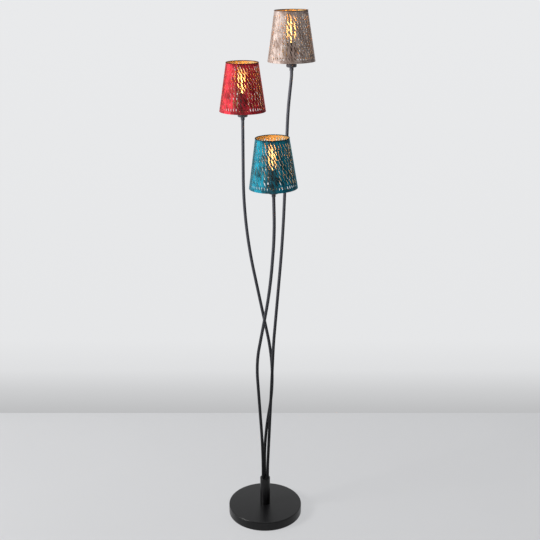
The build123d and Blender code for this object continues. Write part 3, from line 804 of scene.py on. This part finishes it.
piercedShade = slitTree()
for number, (name, lamp) in enumerate(lamps.items()):
    seat = lampFrame(lamp)
    body = name + "_shade"

    foot, top, tall, wall = (shade[key] for key in ("foot", "top", "height", "wall"))
    low, high = shade["hem"], tall - shade["rim"]
    outerLow, outerHigh = (foot - (foot - top) / tall * level for level in (low, high))
    shape = lathe(bmesh.new(), [
        (outerLow - wall, low), (outerLow, low), (outerHigh, high), (outerHigh - wall, high),
    ], shade["sides"])
    looks = {"Cloth": finishes[name], "Lining": finishes["lining"], "Edge": finishes[name + "Edge"]}
    sizes = {
        "Foot Radius": foot * mm, "Top Radius": top * mm, "Height": tall * mm,
        "Cut Depth": shade["cutDepth"] * mm,
    }
    seed = slits["Seed"] + number * shade["seedStep"]
    wallMesh = grown(shape, piercedShade, {**slits, "Seed": seed, **sizes, **looks}, name + "Blank")
    order = [material.name for material in looks.values()]
    slotOf = [order.index(material.name) if material else 2 for material in wallMesh.materials]
    kept = [slotOf[face.material_index] for face in wallMesh.polygons]
    unrolled(wallMesh, clothWave["radius"])
    piece = ready(
        wallMesh, name + "ShadeWall", body, [name, "lining", name + "Edge"],
        [name + "_shade_cover"], seat)
    for face, material in zip(piece.data.polygons, kept):
        face.material_index = material
    print(name, "shade wall faces", len(piece.data.polygons), "by finish", [kept.count(n) for n in range(3)])

    # cloth turned over at the bottom edge
    hem = shade["hem"]
    shape = bead(bmesh.new(), foot - hem, hem + shade["hemRise"], hem, shade["sides"])
    hemMesh = asMesh(shape, name + "Hem")
    unrolled(hemMesh, clothWave["radius"])
    ready(hemMesh, name + "ShadeHem", body, [name], place=seat, crease=60)

    # dark wire round the top
    shape = bead(bmesh.new(), top - shade["rimInset"], high, shade["rim"], shade["sides"])
    ready(shape, name + "TopWire", body, [name + "Rim"], [name + "_shade_top_ring"], seat, 60)

    # carrier: ring of round wire, washer and spokes
    bore, washer, wire = carrierSize["bore"], carrierSize["washer"], carrierSize["wire"]
    low, high, corner = (carrierSize[key] for key in ("washerFoot", "washerTop", "washerRound"))
    shape = bead(bmesh.new(), carrierSize["ring"], wire, wire, carrierSize["ringSides"])
    lathe(shape, [(bore, low), (washer, low, corner), (washer, high, corner), (bore, high)], holderSides, 3)
    for spoke in range(carrierSize["spokes"]):
        turn = math.radians(carrierSize["firstSpoke"] + 360 / carrierSize["spokes"] * spoke)
        ahead = Vector((math.cos(turn), math.sin(turn), 0))
        reach = [bore + carrierSize["spokeStart"], *carrierSize["spokePoints"], carrierSize["ring"]]
        points = [(ahead * radius + Vector((0, 0, wire))) * mm for radius in reach]
        sweep(shape, points, carrierSize["spokeWire"] * mm, carrierSize["spokeSides"])
    ready(shape, name + "ShadeCarrier", body, ["goldWire"], [name + "_shade_carrier"], seat, 40)
print("shades made")

# Bulbs, in mm from the middle of the shade's foot: candle glass, screw cap, and filaments on their mount
bulb = {
    "glassFoot": 48.2, "neck": 6.2, "widest": 17.5, "widestAt": 82, "top": 134, "wall": 0.8, "swell": 1.4,
    "point": 1.6, "pointSwell": 0.75, "pointEnd": 0.8, "pointDrop": 0.25, "meanRadius": 17, "sides": 64,
}
screwCap = {
    "tip": 34, "contact": [(0, 0), (2.2, 0, 0.6), (2.4, 1.2), (2.6, 1.4), (5.6, 4.4)],
    "radius": 6.7, "top": 56, "threadFoot": 6.0, "threadSteps": 25, "stepRise": 0.58, "perCrest": 4,
    "threadDepth": 0.28, "threadRoot": 0.3, "shoulder": 0.6, "collar": 0.1,
}
filament = {
    "count": 3, "spread": 4.5, "foot": 78, "top": 114, "radius": 0.8, "steps": 12, "sides": 12,
    "mount": [(0, 49.2), (4.2, 49.2, 0.5), (3.2, 56, 2.0), (1.6, 68, 2.0), (0.9, 70)], "mountTop": 0.9,
    "disc": 0.6, "discDrop": 0.4, "discHeight": 0.7, "discRound": 0.2, "mountSides": 24,
}


def candle(inset, steps=14):  # half outline of the glass
    neck, widest, top = bulb["neck"] - inset, bulb["widest"] - inset, bulb["top"] - inset
    outline = [(0, bulb["glassFoot"] + inset), (neck, bulb["glassFoot"] + inset)]
    for step in range(steps + 1):
        share = step / steps
        swell = math.sin(share * math.pi / 2) ** bulb["swell"]
        height = screwCap["top"] + (bulb["widestAt"] - screwCap["top"]) * share
        outline.append((neck + (widest - neck) * swell, height))
    for step in range(1, steps):
        share = math.sin(step / steps * math.pi / 2)
        radius = bulb["point"] + (widest - bulb["point"]) * (1 - share**2) ** bulb["pointSwell"]
        outline.append((radius, bulb["widestAt"] + (top - bulb["widestAt"]) * share))
    return outline + [(bulb["point"] * bulb["pointEnd"], top - bulb["pointDrop"]), (0, top)]


for name, lamp in lamps.items():
    seat = lampFrame(lamp)
    body = name + "_bulb"

    shape = lathe(bmesh.new(), candle(0), bulb["sides"])
    outside = set(shape.faces)
    lathe(shape, candle(bulb["wall"]), bulb["sides"])
    glassMesh = asMesh(shape, name + "Glass", [face for face in shape.faces if face not in outside])
    unrolled(glassMesh, bulb["meanRadius"], screwCap["top"], bulb["top"] - screwCap["top"])
    ready(glassMesh, name + "BulbGlass", body, ["glass"], [name + "_bulb_glass"], seat, 70)

    r, tip, top, closed = screwCap["radius"], screwCap["tip"], screwCap["top"], bulb["glassFoot"]
    mouth = bulb["neck"] + screwCap["collar"]
    threads = []
    for step in range(screwCap["threadSteps"]):
        wave = math.cos(step / screwCap["perCrest"] * 2 * math.pi)
        threads.append((
            r - screwCap["threadRoot"] + screwCap["threadDepth"] * wave,
            tip + screwCap["threadFoot"] + step * screwCap["stepRise"]))
    shape = lathe(bmesh.new(), [
        *[(radius, tip + up, *corner) for radius, up, *corner in screwCap["contact"]], *threads,
        (r, top - screwCap["shoulder"]), (mouth, top), (mouth, closed), (0, closed),
    ], bulb["sides"], 3)
    ready(shape, name + "BulbCap", body, ["brass"], [name + "_bulb_cap"], seat, 60)

    low, high, spread, sides = (filament[key] for key in ("foot", "top", "spread", "mountSides"))
    stalk = [*filament["mount"], (filament["mountTop"], high), (0, high)]
    shape = lathe(bmesh.new(), stalk, sides, material=1)
    r, corner = spread + filament["disc"], filament["discRound"]
    for level in (low - filament["discDrop"], high - filament["discDrop"]):
        over = level + filament["discHeight"]
        lathe(shape, [(0, level), (r, level, corner), (r, over, corner), (0, over)], sides, 2, 1)
    heights = [low + (high - low) * n / filament["steps"] for n in range(filament["steps"] + 1)]
    for turn in evenTurns(filament["count"]):
        ahead = Vector((spread * math.cos(turn), spread * math.sin(turn), 0))
        points = [(ahead + Vector((0, 0, z))) * mm for z in heights]
        sweep(shape, points, filament["radius"] * mm, filament["sides"])
    ready(
        shape, name + "Filaments", body, ["filament", "mount"], [name + "_bulb_filament"],
        seat, 50)
print("bulbs made")

# Finishes of the CAD nodes left showing
nodeLooks = {
    "base_weight": "cast", "base_plate": "zinc", "plate_screws": "zinc", "base_pad": "foam",
    "terminal_block": "whitePlastic", "hub_tie": "zinc", "tie_washer": "zinc", "tie_nut": "zinc",
    "hub_block": "zinc", "hub_screw": "zinc", "holder_core": "whitePlastic", "holder_shell": "brass",
    "holder_contact": "brass",
}
for node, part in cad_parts.items():
    if part.hide_render:
        continue
    look = next((nodeLooks[key] for key in nodeLooks if node == key or node.endswith("_" + key)), None)
    if look:
        part.data.materials.clear()
        part.data.materials.append(finishes[look])
    else:
        print("no finish for", node)

# Floor, wall and studio, in metres
studio = {
    "wallAt": 0.724, "floorHalf": 9.0, "wallTop": 5.0, "floor": (0.620, 0.626, 0.640),
    "floorCloud": (0.98, 1.02), "floorShown": 0.8, "wallTint": (1, 1.008, 1.022), "wallShadeTop": 1.6,
    # painted shade: the wall is darker towards its foot by the floor
    "wallShadeGreys": [(0.0, 0.515), (0.0146, 0.53), (0.0674, 0.617), (0.125, 0.735), (0.21, 0.790), (1.0, 0.815)],
    "sky": (0.84, 0.85, 0.87, 1), "skyStrength": 0.12, "skyShown": (0.80, 0.81, 0.82, 1),
}


def staged(name, corners, material):
    data = bpy.data.meshes.new(name)
    data.from_pydata(corners, [], [(0, 1, 2, 3)])
    data.materials.append(material)
    piece = added(name, data)
    return piece


def oneSided(look, colour, share):  # shows its colour by its share, and is open from behind
    plain = look.node("ShaderNodeBsdfDiffuse", values={"Color": colour})
    shown = look.node("ShaderNodeEmission", values={"Color": colour, "Strength": 1.0})
    rays = ["Is Camera Ray", "Is Glossy Ray", "Is Transmission Ray"]
    camera, gloss, glass = [look.node("ShaderNodeLightPath", output=ray) for ray in rays]
    front = look.node("ShaderNodeMixShader", values={0: (camera + gloss + glass) * share, 1: plain, 2: shown})
    behind = look.node("ShaderNodeNewGeometry", output="Backfacing")
    clear = look.node("ShaderNodeBsdfTransparent")
    both = look.node("ShaderNodeMixShader", values={0: behind, 1: front, 2: clear})
    look.node("ShaderNodeOutputMaterial", values={"Surface": both})
    return look.material


def floorFinish():
    look = Finish("studioFloor")
    cloud = look.noise(look.coords(), 1.3, 2)
    low, high = (tuple(c * k for c in studio["floor"]) for k in studio["floorCloud"])
    return oneSided(look, look.between(cloud, low, high), studio["floorShown"])


def wallFinish():
    look = Finish("studioWall")
    height = look.part(look.coords(), "Z")
    # painted shade on the wall, darker towards the floor
    greys = [(place, tuple(grey * c for c in studio["wallTint"])) for place, grey in studio["wallShadeGreys"]]
    return oneSided(look, look.ramp(height / studio["wallShadeTop"], *greys), 1.0)


half, back, tall = studio["floorHalf"], studio["wallAt"], studio["wallTop"]
staged("floor", [(-half, -half, 0), (half, -half, 0), (half, half, 0), (-half, half, 0)], floorFinish())
staged("wall", [(-half, back, 0), (half, back, 0), (half, back, tall), (-half, back, tall)], wallFinish())

world = bpy.data.worlds.new("studio")
world.use_nodes = True
bpy.context.scene.world = world
sky = Graph(world.node_tree)
sky.tree.nodes.clear()
seen = sky.node("ShaderNodeLightPath", output="Is Camera Ray")
around = sky.node("ShaderNodeBackground", values={"Color": studio["sky"], "Strength": studio["skyStrength"]})
shown = sky.node("ShaderNodeBackground", values={"Color": studio["skyShown"], "Strength": 1.0})
both = sky.node("ShaderNodeMixShader", values={0: seen, 1: around, 2: shown})
sky.node("ShaderNodeOutputWorld", values={"Surface": both})

lightRig = {  # place, aim, size, power, colour
    "key": ((-3.3, -1.25, 2.3), (0, 0, 1.2), 1.1, 175, (1.0, 0.985, 0.965)),
    "fill": ((2.8, -2.8, 2.4), (0, 0, 1.0), 2.2, 2, (0.95, 0.97, 1.0)),
    "top": ((0.3, 0.1, 3.8), (0, 0, 0), 1.8, 29, (1.0, 1.0, 1.0)),
}
for name, (place, aim, size, power, colour) in lightRig.items():
    lightData = bpy.data.lights.new(name, "AREA")
    lightData.size, lightData.energy, lightData.color = size, power, colour
    light = added(name, lightData)
    light.location = place
    light.rotation_euler = (Vector(aim) - Vector(place)).to_track_quat("-Z", "Y").to_euler()

# each bulb's own light: height in mm, size in metres, and power by shade
bulbLight = {
    "height": 88, "size": 0.012, "colour": (1.0, 0.62, 0.24), "red": 0.045, "taupe": 0.07, "teal": 0.028,
}
for name, lamp in lamps.items():
    lightData = bpy.data.lights.new(name + "Glow", "POINT")
    lightData.energy, lightData.color = bulbLight[name], bulbLight["colour"]
    lightData.shadow_soft_size = bulbLight["size"]
    light = added(name + "Glow", lightData)
    light.location = lampFrame(lamp) @ Vector((0, 0, bulbLight["height"] * mm))

view = {"place": (0.0168, -2.7857, 1.8426), "pitch": 71.1, "lens": 61.57, "sensor": 36.0, "reach": 60}
cameraData = bpy.data.cameras.new("photoView")
cameraData.lens, cameraData.sensor_width, cameraData.clip_end = view["lens"], view["sensor"], view["reach"]
camera = added("photoView", cameraData)
camera.location = view["place"]
camera.rotation_euler = (math.radians(view["pitch"]), 0, 0)
bpy.context.scene.camera = camera
bpy.context.scene.view_settings.view_transform = "Standard"
print("studio made")
